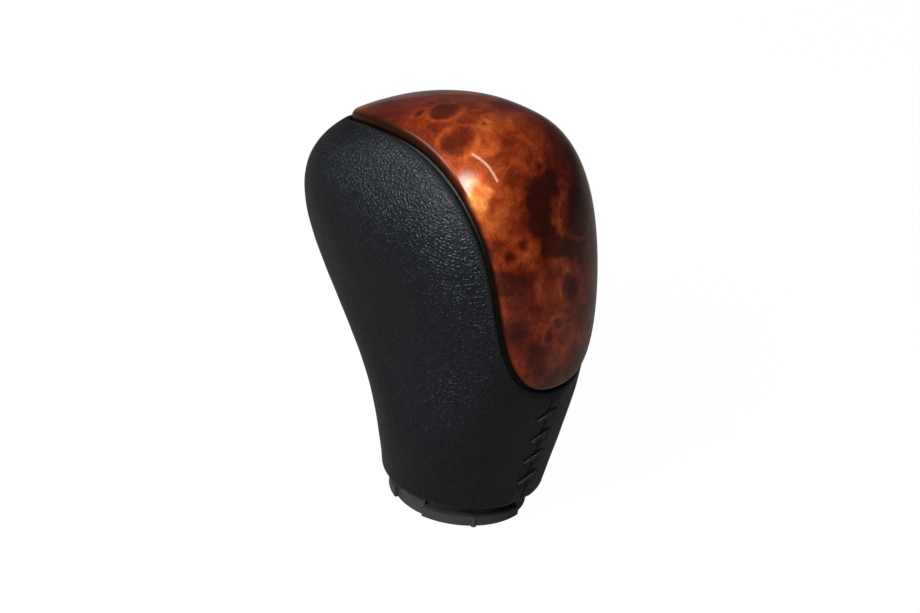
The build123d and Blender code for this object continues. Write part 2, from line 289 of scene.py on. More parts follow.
def onto_form(points, inset=0.0):
    """Points moved along the form's normals onto its outside."""
    for _ in range(SURFACE_STEPS):
        slope = slopes(points, inset)
        excess = (level(points, inset) - 1)[..., None]
        points = points - slope * excess / (slope ** 2).sum(-1, keepdims=True)
    return points


def around(turn, height, inset=0.0):
    """Points on the form by the angle about each section's centre, and their height."""
    centre, depth, width, power = sections(height, inset)
    cosine, sine = np.cos(turn), np.sin(turn)
    radius = (np.abs(cosine / depth) ** power + np.abs(sine / width) ** power) ** (-1 / power)
    return np.stack([centre + radius * cosine, radius * sine, height], -1)


def turns_of(ring):
    """Angles of a ring's points about the sections' centres; the first point is straight behind."""
    turns = np.arctan2(ring[:, 1], ring[:, 0] - sections(ring[:, 2])[0])
    turns[0] = -np.pi
    return turns


def border_half():
    """Border on the near cheek, from behind the crown down to the tip: dense points and lengths along it."""
    set_back = (
        (SHOULDER_HEIGHT, SHOULDER_SETBACK),
        (TEMPLE_HEIGHT, TEMPLE_SETBACK),
        (FLANK_HEIGHT, FLANK_SETBACK),
        (TIP_RUNOUT_HEIGHT, -BORDER_OVERRUN),
    )
    behind = (-reach(BACK, BORDER_BACK_HEIGHT) - BORDER_OVERRUN, BORDER_BACK_HEIGHT)
    crest = (-BORDER_CREST_BEHIND, CROWN_HEIGHT - BORDER_CREST_DROP)
    line, _ = spline_rows([behind, crest] + [(reach(FRONT, z) - back, z) for z, back in set_back])

    def room(x, z):
        centre, depth, width, power = sections(z)
        return 1 - np.abs((x - centre) / depth) ** power, width, power

    spare = room(line[:, 0], line[:, 1])[0]
    inside = np.flatnonzero(spare > 0)
    first, last = inside[0], inside[-1]
    start = first - spare[first] / (spare[first] - spare[first - 1])
    stop = last + spare[last] / (spare[last] - spare[last + 1])
    turn = np.linspace(0, np.pi, PROFILE_SAMPLES)
    at = start + (stop - start) * (1 - np.cos(turn)) / 2
    x, z = points_at(at, np.arange(PROFILE_SAMPLES), line).T
    spare, width, power = room(x, z)
    y = -width * np.clip(spare, 0, None) ** (1 / power)
    y[[0, -1]] = 0
    points = np.stack([x, y, z], -1)
    return points, run_lengths(points)


BORDER, BORDER_LENGTHS = border_half()
TIP_HEIGHT = BORDER[-1, 2]
HALF_BORDER = BORDER_LENGTHS[-1]


def border_loop(stops):
    """Closed border loop with points at these lengths on the near cheek, mirrored to the far one."""
    near = points_at(stops, BORDER_LENGTHS, BORDER)
    return np.concatenate([near, near[-2:0:-1] * MIRROR])


def border_frames(loop):
    """Directions along the loop's surface towards the leather, and outwards."""
    along = np.roll(loop, -1, 0) - np.roll(loop, 1, 0)
    out = unit(slopes(loop))
    aside = unit(np.cross(along, out))
    return aside, out


def rolled_edge(loop, aside, out, radius, proud, settled, angle):
    """Row of an edge rolled aside from the border, from its wall at 0 to its face at a right angle.

    Proud is how far the face stands off the form, and settled is the face row's own move onto it.
    """
    shift = HALF_GAP + radius * (1 - np.cos(angle))
    drop = radius * (1 - np.sin(angle)) - proud
    return loop + aside * shift - out * drop + settled * np.sin(angle)


def mesh_piece(name, points, faces, material):
    """A smooth-shaded mesh object from points in millimetres, riding on the part."""
    mesh = bpy.data.meshes.new(name)
    mesh.from_pydata((np.asarray(points) * MM).tolist(), [], faces)
    mesh.polygons.foreach_set("use_smooth", np.ones(len(mesh.polygons), bool))
    mesh.materials.append(material)
    mesh.update()
    piece = bpy.data.objects.new(name, mesh)
    bpy.context.scene.collection.objects.link(piece)
    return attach(piece, "root")


def grid_faces(rows, columns, first=0):
    """Quads of a grid that closes on itself across its columns, facing out for rows that rise."""
    i, j = np.meshgrid(np.arange(rows - 1), np.arange(columns), indexing="ij")
    k = (j + 1) % columns
    corners = [i * columns + j, i * columns + k, (i + 1) * columns + k, (i + 1) * columns + j]
    return (first + np.stack(corners, -1).reshape(-1, 4)).tolist()


def shade_edge(piece, points, loop, reaches, flank_share):
    """Gives a mesh its painted shade along the border: 1 up to the first reach from it, 0 past the second.

    The reaches hold over the crest, and their flank share holds lower down.
    """
    full, end = reaches
    nearest = np.array([np.linalg.norm(loop - point, axis=1).min() for point in points])
    nearest /= np.interp(points[:, 2], SHADE_HEIGHTS, (flank_share, 1.0))
    shade = 1 - smooth((nearest - full) / (end - full))
    piece.data.attributes.new(EDGE_SHADE, "FLOAT", "POINT").data.foreach_set("value", shade)


def stitch_heights():
    """Heights of the lacing's stitches, from the neck up to below the trim's tip."""
    first = EDGE_HEIGHT + FIRST_STITCH_ABOVE_EDGE
    room = TIP_HEIGHT - LAST_STITCH_BELOW_TIP - first
    return [first + STITCH_PITCH * i for i in range(int(room / STITCH_PITCH) + 1)]


def bump(distance, half_width):
    """Bell of height 1 about 0."""
    return np.exp(-(distance / half_width) ** 2)


def dome(distance, half_width):
    """Hump of height 1 about 0 that ends at its half width."""
    return np.clip(1 - (distance / half_width) ** 2, 0, 1) ** 2


def seam_relief(points):
    """How far the leather stands off the form about its front seam: fold, lips, and the stitches' pull."""
    across, height = points[..., 1], points[..., 2]
    off = np.abs(across)
    slant = across / STITCH_HALF_SPAN * STITCH_RISE / 2
    heights = stitch_heights()
    fold = -FOLD_DEPTH * bump(across, FOLD_HALF_WIDTH)
    lips = LIP_RISE * bump(off - LIP_OFFSET, LIP_HALF_WIDTH)
    relief = fold + lips - BOWL_DEPTH * dome(across, BOWL_HALF_WIDTH)
    within = smooth((STITCH_HALF_SPAN + VALLEY_MARGIN - off) / VALLEY_MARGIN)
    for stitch in heights:
        above = height - stitch
        relief = relief - STITCH_PRESS * bump(above - slant, STITCH_PRESS_HALF_WIDTH) * within
        for side in (-1, 1):
            beside = np.hypot(across - side * STITCH_HALF_SPAN, above - side * STITCH_RISE / 2)
            relief = relief - HOLE_DEPTH * bump(beside, HOLE_RADIUS)
    beat = (1 - np.cos(2 * np.pi * (height - heights[0] - slant) / STITCH_PITCH)) / 2
    puckered = (height > heights[0] - STITCH_PITCH) & (height < heights[-1] + STITCH_PITCH)
    relief = relief + PUCKER_RISE * beat * dome(across, PUCKER_HALF_WIDTH) * puckered
    return np.where(points[..., 0] > 0, relief, 0)


def slack_relief(points):
    """Slight unevenness of leather stretched over a core."""
    relief = 0.0
    for share, *waves in SLACK_WAVES:
        first, second = (np.sin(points @ np.array(rates) + phase) for rates, phase in waves)
        relief = relief + SLACK * share * first * second
    return relief


def tip_pleats(tip_distance):
    """Gathers in the leather where the border turns round the trim's tip."""
    waves = np.cos(2 * np.pi * tip_distance / PLEAT_WIDTH)
    return PLEAT_RISE * waves * smooth(2 - 2 * np.abs(tip_distance) / PLEAT_REACH)


def leather_columns():
    """Lengths along the near border where the leather's columns end, close together beside the seam."""
    calm = HALF_BORDER - SEAM_ZONE
    coarse = np.linspace(0, calm, int(calm / COLUMN_STEP) + 1)
    fine = np.linspace(calm, HALF_BORDER, int(SEAM_ZONE / SEAM_STEP) + 1)
    return np.r_[coarse, fine[1:]]


def leather_main(top, tip_distance):
    """Rows of points from above the hem up to the top ring, and the columns' angles at the hem."""
    low = EDGE_HEIGHT + HEM_RADIUS
    turn_top = turns_of(top)
    even = np.sign(turn_top) * np.pi * np.abs(tip_distance) / HALF_BORDER
    blend_start, blend_end = COLUMN_BLEND
    straight = smooth((blend_end - np.abs(tip_distance)) / (blend_end - blend_start))
    at_neck = np.arcsin(np.clip(top[:, 1] / NECK_RADIUS, -1, 1))
    turn_low = straight * at_neck + (1 - straight) * (turn_top + even) / 2
    across_low = NECK_RADIUS * np.sin(turn_low)
    share = np.linspace(0, 1, LEATHER_ROWS)[:, None]
    height = low + (top[:, 2] - low) * share
    _, depth, width, power = sections(height)
    across = across_low + (top[:, 1] - across_low) * share
    ahead = depth * np.clip(1 - np.abs(across / width) ** power, 0, None) ** (1 / power)
    turn = straight * np.arctan2(across, ahead) + (1 - straight) * (turn_low + (turn_top - turn_low) * share)
    points = around(turn, height)
    relief = seam_relief(points) + slack_relief(points) * smooth(share / HEM_FADE)
    relief = relief * smooth((1 - share) / BORDER_FADE)
    below = (1 - share) * (top[:, 2] - low)
    pleated = smooth(1 - below / PLEAT_LENGTH) * smooth(below / PLEAT_FADE)
    relief = relief + tip_pleats(tip_distance) * pleated
    return points + unit(slopes(points)) * relief[..., None], turn_low


def hem_rows(lowest, turn_low):
    """Rows of the rolled hem, from the leather's inside out to its lowest main row."""
    spoke = np.stack([np.cos(turn_low), np.sin(turn_low), np.zeros_like(turn_low)], -1)
    fall = np.array([0, 0, HEM_RADIUS])
    rows = [lowest - spoke * LEATHER_THICKNESS - fall]
    for angle in np.linspace(np.pi / 2, 0, ROLL_ROWS, endpoint=False):
        inwards = HEM_RADIUS * (1 - np.cos(angle))
        rows.append(lowest - spoke * inwards - fall * np.sin(angle))
    return rows


def inner_rows(top, low, turn_low):
    """Rows down the leather's inside, between its border and its hem."""
    turn_top = turns_of(top)
    rows = []
    for share in np.linspace(0, 1, INNER_ROWS + 2)[1:-1]:
        height = top[:, 2] + (low[:, 2] - top[:, 2]) * share
        rows.append(around(turn_top + (turn_low - turn_top) * share, height, LEATHER_THICKNESS))
    return rows


def leather_piece(material):
    """Leather wrap: a closed shell with a rolled hem, a rolled border and a laced seam."""
    stops = leather_columns()
    loop = border_loop(stops)
    aside, out = border_frames(loop)
    near = stops - HALF_BORDER
    tip_distance = np.r_[near, -near[-2:0:-1]]
    flat_top = loop + aside * (HALF_GAP + LEATHER_EDGE_RADIUS)
    top = onto_form(flat_top)
    main, turn_low = leather_main(top, tip_distance)
    rows = hem_rows(main[0], turn_low)
    rows.extend(main)
    for angle in np.linspace(np.pi / 2, 0, ROLL_ROWS + 1)[1:]:
        rows.append(rolled_edge(loop, aside, out, LEATHER_EDGE_RADIUS, 0.0, top - flat_top, angle))
    rows.append(loop + aside * HALF_GAP - out * LEATHER_THICKNESS)
    rows.extend(inner_rows(rows[-1], rows[0], turn_low))
    points = np.concatenate(rows)
    faces = np.array(grid_faces(len(rows) + 1, len(loop))) % len(points)
    piece = mesh_piece("leather_cover", points, faces.tolist(), material)
    shade_edge(piece, points, loop, LEATHER_SHADE, LEATHER_FLANK_SHARE)
    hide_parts("leather_wrap")
    return piece


def midline(behind, tip, inset):
    """Side view of the form in its middle plane, from behind the crown over it and down to the tip."""
    back_line = BACK[0] - inset * BACK[1]
    front_line = FRONT[0] - inset * FRONT[1]
    back_line = back_line[back_line[:, 1] > behind[2]] * (-1, 1)
    front_line = front_line[front_line[:, 1] > tip[2]]
    return np.concatenate([[behind[[0, 2]]], back_line, front_line[::-1], [tip[[0, 2]]]])


def rungs_over(ring, inset):
    """Rows of points across the trim, from each near ring point over the form to its far twin."""
    near = ring[1:RUNGS]
    side = ring[:RUNGS + 1, [0, 2]]
    run = run_lengths(side)
    middle = midline(ring[0], ring[RUNGS], inset)
    lengths = run_lengths(middle)
    goal = points_at(run[1:-1] / run[-1] * lengths[-1], lengths, middle)
    rise = unit(goal - side[1:RUNGS])
    across = near[:, 1:2] * np.cos(np.linspace(0, np.pi, DENSE_STEPS))
    low = np.zeros_like(across)
    high = np.full_like(across, 2 * CHEEK_HALF_WIDTH)

    def lifted(lift):
        x = near[:, 0:1] + rise[:, 0:1] * lift
        z = near[:, 2:3] + rise[:, 1:2] * lift
        return np.stack([x, across, z], -1)

    for _ in range(HALVINGS):
        half = (low + high) / 2
        within = level(lifted(half), inset) < 1
        low = np.where(within, half, low)
        high = np.where(within, high, half)
    dense = lifted(low)
    dense[:, 0] = near
    dense[:, -1] = near * MIRROR
    return np.array([evenly(rung, RUNG_STEPS + 1) for rung in dense])


def ladder_faces(ring, inner, outwards):
    """Faces between ring points and the rungs' inner points; ring and inner hold point numbers."""
    faces = []
    rungs = [np.r_[ring[k], inner[k - 1], ring[-k]] for k in range(1, RUNGS)]
    for low, high in zip(rungs, rungs[1:]):
        faces += np.stack([low[:-1], high[:-1], high[1:], low[1:]], -1).tolist()
    for point, rung, back_end in ((ring[0], rungs[0], True), (ring[RUNGS], rungs[-1], False)):
        for a, b in zip(rung, rung[1:]):
            faces.append([point, a, b] if back_end else [a, point, b])
    return faces if outwards else [face[::-1] for face in faces]


def wood_piece(material):
    """Burl trim: a closed shell with a rolled edge along the border."""
    loop = border_loop(np.linspace(0, HALF_BORDER, RUNGS + 1))
    aside, out = border_frames(loop)
    inland = loop - aside * (HALF_GAP + TRIM_EDGE_RADIUS)
    flat_ring = inland + out * TRIM_PROUD
    settled = onto_form(flat_ring, -TRIM_PROUD) - flat_ring
    rows = [onto_form(inland - out * LEATHER_THICKNESS, LEATHER_THICKNESS)]
    rows.append(loop - aside * HALF_GAP - out * LEATHER_THICKNESS)
    for angle in np.linspace(0, np.pi / 2, TRIM_ROLL_ROWS):
        rows.append(rolled_edge(loop, -aside, out, TRIM_EDGE_RADIUS, TRIM_PROUD, settled, angle))
    count = len(loop)
    faces = grid_faces(len(rows), count)
    points = np.concatenate(rows)
    for row, inset, outwards in ((rows[-1], -TRIM_PROUD, True), (rows[0], LEATHER_THICKNESS, False)):
        inner = rungs_over(row, inset)[:, 1:-1]
        numbers = len(points) + np.arange(inner.shape[0] * inner.shape[1]).reshape(inner.shape[:2])
        first = (len(rows) - 1) * count if outwards else 0
        faces += ladder_faces(first + np.arange(count), numbers, outwards)
        points = np.concatenate([points, inner.reshape(-1, 3)])
    piece = mesh_piece("burl_trim", points, faces, material)
    shade_edge(piece, points, loop, WOOD_SHADE, WOOD_FLANK_SHARE)
    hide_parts("wood_trim")
    return piece


def thread_route():
    """Middle of the lacing thread: across on the leather, back up under it, with rounded corners."""
    half = STITCH_HALF_SPAN
    fall = half * half / (2 * NECK_RADIUS)
    dip = VALLEY_DEPTH * VALLEY_MARGIN / (half + VALLEY_MARGIN)
    over = fall + dip - THREAD_RADIUS - THREAD_CLEARANCE
    under = fall + CORE_INSET + THREAD_RADIUS + THREAD_CLEARANCE
    points = []
    for stitch in stitch_heights():
        for side, depths in ((-1, (under, over)), (1, (over, under))):
            height = stitch + side * STITCH_RISE / 2
            points += [(reach(FRONT, height) - depth, side * half, height) for depth in depths]
    route = np.array(points)
    for _ in range(CORNER_CUTS):
        steps = np.diff(route, axis=0)
        lengths = np.linalg.norm(steps, axis=1, keepdims=True)
        cut = np.minimum(lengths * CORNER_SHARE, THREAD_RADIUS) / lengths
        pairs = np.stack([route[:-1] + steps * cut, route[1:] - steps * cut], 1).reshape(-1, 3)
        route = np.concatenate([route[:1], pairs, route[-1:]])
    return evenly(route, int(run_lengths(route)[-1] / THREAD_STEP))


def cross_frames(route):
    """Two directions across a route at each point, carried along it without twist."""
    along = unit(np.gradient(route, axis=0))
    across = [unit(np.cross(along[0], ASKEW))]
    for heading in along[1:]:
        across.append(unit(across[-1] - heading * (across[-1] @ heading)))
    return np.array(across), np.cross(along, across)


def tube(route, radius, sides):
    """Rings of points about a route."""
    across, beside = cross_frames(route)
    turns = np.linspace(0, 2 * np.pi, sides, endpoint=False)[:, None]
    return route[:, None] + radius * (across[:, None] * np.cos(turns) + beside[:, None] * np.sin(turns))


def lacing_piece(material):
    """Twisted thread that laces the seam."""
    route = thread_route()
    across, beside = cross_frames(route)
    turns = 2 * np.pi * THREAD_STEP / PLY_TURN_LENGTH * np.arange(len(route))[:, None]
    points, faces = [], []
    for start in (0, np.pi):
        ply = route + PLY_OFFSET * (across * np.cos(turns + start) + beside * np.sin(turns + start))
        first = len(points) * PLY_SIDES * len(route)
        last = first + (len(route) - 1) * PLY_SIDES
        faces += grid_faces(len(route), PLY_SIDES, first)
        faces.append(list(range(first + PLY_SIDES - 1, first - 1, -1)))
        faces.append(list(range(last, last + PLY_SIDES)))
        points.append(tube(ply, PLY_RADIUS, PLY_SIDES).reshape(-1, 3))
    piece = mesh_piece("lacing_thread", np.concatenate(points), faces, material)
    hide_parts("seam_lacing")
    return piece


class Graph:
    """Nodes of one tree."""

    def __init__(self, tree):
        self.tree = tree

    def add(self, kind, inputs=None, **settings):
        """A node with its settings, and its inputs linked or set."""
        node = self.tree.nodes.new("ShaderNode" + kind)
        for key, value in settings.items():
            setattr(node, key, value)
        for key, value in (inputs or {}).items():
            self.put(node.inputs[key], value)
        return node

    def put(self, socket, value):
        """Links an output to a socket, or sets the socket's value."""
        if isinstance(value, bpy.types.NodeSocket):
            self.tree.links.new(value, socket)
        else:
            socket.default_value = value

    def math(self, operation, a, b=0.0, c=0.0):
        """One arithmetic step."""
        return self.add("Math", {0: a, 1: b, 2: c}, operation=operation).outputs[0]

    def vector(self, operation, a, b):
        """One step with two vectors."""
        return self.add("VectorMath", {0: a, 1: b}, operation=operation).outputs[0]

    def scaled(self, vector, factor):
        """A vector times a number."""
        return self.add("VectorMath", {0: vector, "Scale": factor}, operation="SCALE").outputs[0]

    def weighed(self, start, *terms):
        """A start value plus terms of value and weight."""
        total = start
        for value, weight in terms:
            total = self.math("MULTIPLY_ADD", value, weight, total)
        return total

    def most(self, values):
        """Largest of several values."""
        found = values[0]
        for value in values[1:]:
            found = self.math("MAXIMUM", found, value)
        return found

    def remap(self, value, low, high, to_low=0.0, to_high=1.0):
        """Value from low to high as a smooth share from to_low to to_high."""
        inputs = {"Value": value, "From Min": low, "From Max": high, "To Min": to_low, "To Max": to_high}
        return self.add("MapRange", inputs, interpolation_type="SMOOTHSTEP").outputs[0]


class Shader(Graph):
    """Node graph of one material."""

    def __init__(self, name):
        self.material = bpy.data.materials.new(name)
        self.material.use_nodes = True
        super().__init__(self.material.node_tree)
        self.surface = self.tree.nodes["Principled BSDF"]

    def finish(self, **inputs):
        """Sets the surface's sockets by name, with underscores for spaces."""
        for key, value in inputs.items():
            self.put(self.surface.inputs[key.replace("_", " ")], value)
        return self.material

    def place(self):
        """Position on the object in millimetres."""
        return self.scaled(self.add("TexCoord").outputs["Object"], 1 / MM)

    def edge_shade(self):
        """Painted shade along the border, from the mesh."""
        return self.add("Attribute", attribute_name=EDGE_SHADE).outputs["Fac"]

    def noise(self, vector, scale, detail=2.0, roughness=0.5, distortion=0.0, output="Fac"):
        """Noise from 0 to 1, with scale in cells per millimetre."""
        inputs = {"Vector": vector, "Scale": scale, "Detail": detail, "Roughness": roughness,
                  "Distortion": distortion}
        return self.add("TexNoise", inputs).outputs[output]

    def strayed(self, vector, scale, amount, detail=2.0):
        """Positions moved about by noise, by up to about half the amount each way."""
        drift = self.noise(vector, scale, detail, output="Color")
        centred = self.vector("SUBTRACT", drift, (0.5, 0.5, 0.5))
        return self.vector("ADD", vector, self.scaled(centred, amount))

    def mix(self, share, a, b):
        """Two colours mixed."""
        node = self.add("Mix", data_type="RGBA")
        for socket, value in zip((node.inputs[0], node.inputs[6], node.inputs[7]), (share, a, b)):
            self.put(socket, value)
        return node.outputs[2]

    def ramp(self, value, stops):
        """Colour ramp through stops of place and colour."""
        node = self.add("ValToRGB", {"Fac": value})
        elements = node.color_ramp.elements
        while len(elements) < len(stops):
            elements.new(0.5)
        for element, (place, colour) in zip(elements, stops):
            element.position = place
            element.color = (*colour, 1)
        return node.outputs["Color"]

    def bumps(self, height, strength, distance):
        """Normal from a relative height, with its distance in millimetres."""
        inputs = {"Height": height, "Strength": strength, "Distance": distance * MM}
        return self.add("Bump", inputs).outputs["Normal"]


# Leather's colours: painted shade in the creases between its pebbles, on the pebbles, where it is paler,
# painted shade along the border, and of its shine
LEATHER_CREASE_SHADE = (0.0008, 0.0009, 0.0012, 1)
LEATHER_PEBBLE = (0.0064, 0.007, 0.0086, 1)
LEATHER_PALE = (0.0056, 0.0061, 0.0074, 1)
LEATHER_BORDER_SHADE = (0.0022, 0.0024, 0.0028, 1)
LEATHER_SHINE = (0.76, 0.87, 1.0, 1)


def leather_material():
    """Black grained leather: pebbles between fine creases, with a satin finish, duller along the border;
    painted shade darkens the creases and the border.
    """
    s = Shader("black_leather")
    place = s.place()
    shade = s.edge_shade()
    warped = s.strayed(place, scale=0.5, amount=0.9)
    cells = s.add("TexVoronoi", {"Vector": warped, "Scale": 1.35, "Randomness": 1.0},
                  feature="DISTANCE_TO_EDGE").outputs["Distance"]
    pebbles = s.remap(cells, 0.0, 0.3)
    fine = s.noise(place, scale=3.2, detail=3.0, roughness=0.6)
    pale = s.remap(s.noise(place, scale=0.11), 0.35, 0.7, 0.0, 0.3)
    # Painted shade: the creases between the pebbles are darker
    colour = s.mix(pebbles, LEATHER_CREASE_SHADE, LEATHER_PEBBLE)
    colour = s.mix(pale, colour, LEATHER_PALE)
    # Painted shade where the leather rolls into the gap at the border
    colour = s.mix(shade, colour, LEATHER_BORDER_SHADE)
    rough = s.weighed(0.36, (fine, 0.14), (pebbles, -0.05), (shade, 0.35))
    relief = s.weighed(pebbles, (fine, 0.4))
    return s.finish(
        Base_Color=colour, Roughness=rough, Specular_IOR_Level=0.44, Specular_Tint=LEATHER_SHINE,
        Normal=s.bumps(relief, strength=0.55, distance=0.16))


# Eyes of the burl: place on the trim in millimetres, radius, and how dark the middle is
EYES = (
    ((-1.2, -12.0, 80.6), 3.4, 1.0),
    ((-9.8, -7.0, 82.6), 3.0, 0.3),
    ((-13.7, -9.6, 81.3), 0.9, 0.5),
    ((0.4, -6.6, 83.2), 0.7, 0.9),
    ((11.6, -3.0, 78.1), 0.8, 0.9),
    ((15.5, -12.2, 63.1), 1.1, 1.0),
    ((16.1, -9.8, 65.1), 1.2, 0.9),
    ((21.5, -4.8, 47.2), 1.2, 1.0),
    ((21.5, -3.0, 48.8), 1.1, 0.7),
    ((20.4, 1.0, 55.5), 2.6, 0.3),
    ((17.3, 9.0, 62.2), 0.9, 0.8),
    ((16.3, 4.8, 68.8), 4.7, 0.3),
    ((5.0, 12.0, 80.0), 2.4, 0.8),
    ((19.0, 7.0, 45.0), 1.2, 0.9),
    ((-24.0, 6.0, 79.0), 2.0, 0.8),
    ((10.0, 15.0, 70.0), 1.6, 0.9),
)

# Dark patches of the burl: place on the trim in millimetres, radius and strength
PATCHES = (
    ((14.1, -5.4, 73.4), 2.6, 1.0),
    ((15.0, -5.6, 71.2), 3.0, 1.0),
    ((16.3, -5.0, 68.4), 2.8, 1.0),
    ((17.8, -3.0, 64.2), 2.9, 0.9),
    ((13.4, -1.7, 75.4), 2.8, 0.9),
    ((16.3, 5.4, 68.8), 4.6, 1.0),
    ((10.4, 8.4, 77.6), 3.4, 0.8),
    ((14.4, 8.0, 71.4), 3.4, 0.9),
    ((18.6, 4.0, 62.2), 3.2, 0.9),
    ((18.4, 0.2, 63.0), 2.6, 0.8),
    ((17.4, 7.4, 65.0), 3.2, 0.8),
    ((20.4, 1.0, 55.0), 3.4, 0.55),
    ((16.8, -12.6, 57.4), 2.8, 0.6),
    ((15.2, -14.3, 58.4), 2.2, 0.6),
    ((18.2, -9.6, 58.6), 2.8, 0.5),
    ((13.2, -14.9, 63.4), 2.4, 0.75),
    ((18.2, -12.4, 51.0), 4.4, 0.55),
    ((19.1, -9.2, 54.6), 3.0, 0.5),
    ((18.9, -11.8, 46.0), 4.4, 0.35),
    ((21.5, -6.6, 43.0), 3.4, 0.6),
    ((21.6, -5.0, 37.0), 5.4, 0.55),
    ((-10.0, -6.5, 82.7), 3.6, 0.6),
    ((-7.2, -10.8, 81.4), 2.6, 0.45),
    ((-4.6, -14.2, 79.0), 2.6, 0.45),
    ((3.7, -11.0, 80.3), 2.2, 0.35),
    ((-3.0, 3.0, 84.0), 4.6, 0.4),
    ((-11.0, -12.3, 80.3), 4.0, 0.4),
    ((-23.0, -10.0, 78.4), 5.0, 0.4),
    ((-22.0, 4.0, 79.5), 5.0, 0.8),
    ((16.0, 12.0, 58.0), 4.6, 0.7),
    ((18.0, 9.0, 48.0), 3.6, 0.6),
    ((2.0, 14.0, 78.0), 4.6, 0.6),
)

# Golden patches of the burl, paler figure in part and a painted golden sheen beside the key's highlight:
# place on the trim in millimetres, radius and strength
GOLDEN_AND_SHEEN = (
    ((7.2, -14.4, 74.6), 2.3, 1.0),
    ((7.8, -14.7, 73.2), 2.4, 1.0),
    ((8.9, -15.5, 70.8), 2.0, 0.7),
    ((12.6, -13.0, 69.2), 3.0, 0.4),
    ((11.8, -10.8, 73.4), 3.0, 0.65),
    ((17.5, -8.8, 62.0), 1.8, 0.4),
    ((1.3, -3.6, 83.9), 3.6, 0.25),
    ((8.0, -2.0, 81.9), 3.6, 0.25),
    ((16.9, -1.5, 67.6), 1.5, 0.5),
    ((17.4, -0.7, 65.8), 1.3, 0.4),
    ((20.0, 2.6, 57.2), 1.4, 0.3),
    ((9.0, 13.5, 74.0), 3.2, 0.6),
    ((-16.0, 10.0, 80.0), 3.0, 0.3),
)

# Where blots and eyes fade, in their radii, and where an eye's ring rises and falls, in millimetres past it
BLOT_FADE = (0.3, 1.5)
EYE_FADE = (0.3, 1.1)
RING_RISE = (-0.1, 0.5)
RING_FALL = (0.7, 1.7)

# The figure's tone: its start and scale, how fibres are drawn out, and how close its contours lie
TONE_START = -0.65
TONE_SCALE = 0.8
FIBRE_STRETCH = (0.9, 0.9, 0.16)
CONTOUR_RATE = 70.0

# The burl's colours by tone, the painted shade on its rolled edge, and of its shine
BURL_TONES = (
    (0.0, (0.040, 0.0034, 0.0012)),
    (0.16, (0.070, 0.0064, 0.0018)),
    (0.32, (0.140, 0.0140, 0.0034)),
    (0.48, (0.270, 0.0340, 0.0075)),
    (0.64, (0.430, 0.0780, 0.0150)),
    (0.8, (0.600, 0.1600, 0.0330)),
    (1.0, (0.800, 0.3300, 0.0950)),
)
BURL_EDGE_SHADE = (0.010, 0.0022, 0.0014, 1)
BURL_SHINE = (1.0, 0.62, 0.25, 1)


def spot_ratio(s, positions, spot, radius):
    """Distance of positions from a spot on the trim, in its radii."""
    middle = tuple(onto_form(np.array(spot), -TRIM_PROUD))
    distance = s.add("VectorMath", {0: positions, 1: middle}, operation="DISTANCE").outputs["Value"]
    return s.math("DIVIDE", distance, radius)


def burl_blots(s, positions, spots):
    """Sum of soft blots about spots of place, radius and strength."""
    total = 0.0
    for spot, radius, strength in spots:
        ratio = spot_ratio(s, positions, spot, radius)
        total = s.math("ADD", s.remap(ratio, *BLOT_FADE, strength, 0.0), total)
    return total


def burl_eyes(s, positions):
    """Dark middles of the burl's eyes, and the pale rings about them."""
    middles, rings = [], []
    for spot, radius, depth in EYES:
        ratio = spot_ratio(s, positions, spot, radius)
        middles.append(s.remap(ratio, *EYE_FADE, depth, 0.0))
        past = s.math("MULTIPLY_ADD", ratio, radius, -radius)
        rings.append(s.math("SUBTRACT", s.remap(past, *RING_RISE), s.remap(past, *RING_FALL)))
    return s.most(middles), s.most(rings)


def burl_figure(s, place):
    """Tone of the burl's figure with a painted golden sheen beside the key's highlight, and the mottle that
    its relief follows.
    """
    swirled = s.strayed(place, scale=0.13, amount=8.0)
    curled = s.strayed(swirled, scale=0.5, amount=2.4)
    near_patch = s.strayed(place, scale=0.24, amount=5.5, detail=3.0)
    near_eye = s.strayed(place, scale=0.4, amount=2.0)
    cloud = s.noise(swirled, scale=0.06)
    mottle = s.noise(curled, scale=0.24, detail=4.0, roughness=0.55, distortion=0.4)
    combed = s.vector("MULTIPLY", curled, FIBRE_STRETCH)
    fibre = s.noise(combed, scale=2.8, detail=4.0, roughness=0.65)
    slow = s.noise(curled, scale=0.1, detail=1.0)
    contour = s.math("SINE", s.math("MULTIPLY", slow, CONTOUR_RATE))
    # Painted golden sheen beside the key's highlight, with paler figure elsewhere
    golden_and_sheen = s.math("MINIMUM", burl_blots(s, near_patch, GOLDEN_AND_SHEEN), 1.0)
    middle, ring = burl_eyes(s, near_eye)
    patch = s.remap(burl_blots(s, near_patch, PATCHES), 0.15, 0.85)
    patch = s.math("MULTIPLY", patch, s.weighed(0.7, (mottle, 0.6)))
    patch = s.math("MULTIPLY", patch, s.weighed(1.0, (ring, -0.6)))
    tone = s.weighed(TONE_START, (cloud, 0.9), (mottle, 0.85), (fibre, 0.6), (contour, 0.03),
                     (patch, -0.36), (middle, -0.36), (ring, 0.12), (golden_and_sheen, 0.55))
    return s.math("MULTIPLY", tone, TONE_SCALE), mottle


def burl_material():
    """Burl veneer under clear gloss lacquer, less glossy on its rolled edge, which painted shade darkens."""
    s = Shader("lacquered_burl")
    tone, mottle = burl_figure(s, s.place())
    shade = s.edge_shade()
    # Painted shade on the rolled edge, where it turns from the light into the gap
    colour = s.mix(s.math("MULTIPLY", shade, 0.97), s.ramp(tone, BURL_TONES), BURL_EDGE_SHADE)
    return s.finish(
        Base_Color=colour, Metallic=0.28, Roughness=0.45, Specular_IOR_Level=0.3, Specular_Tint=BURL_SHINE,
        Normal=s.bumps(mottle, strength=0.15, distance=0.6), Coat_Weight=s.weighed(1.0, (shade, -0.75)),
        Coat_Roughness=0.05, Coat_IOR=1.35)


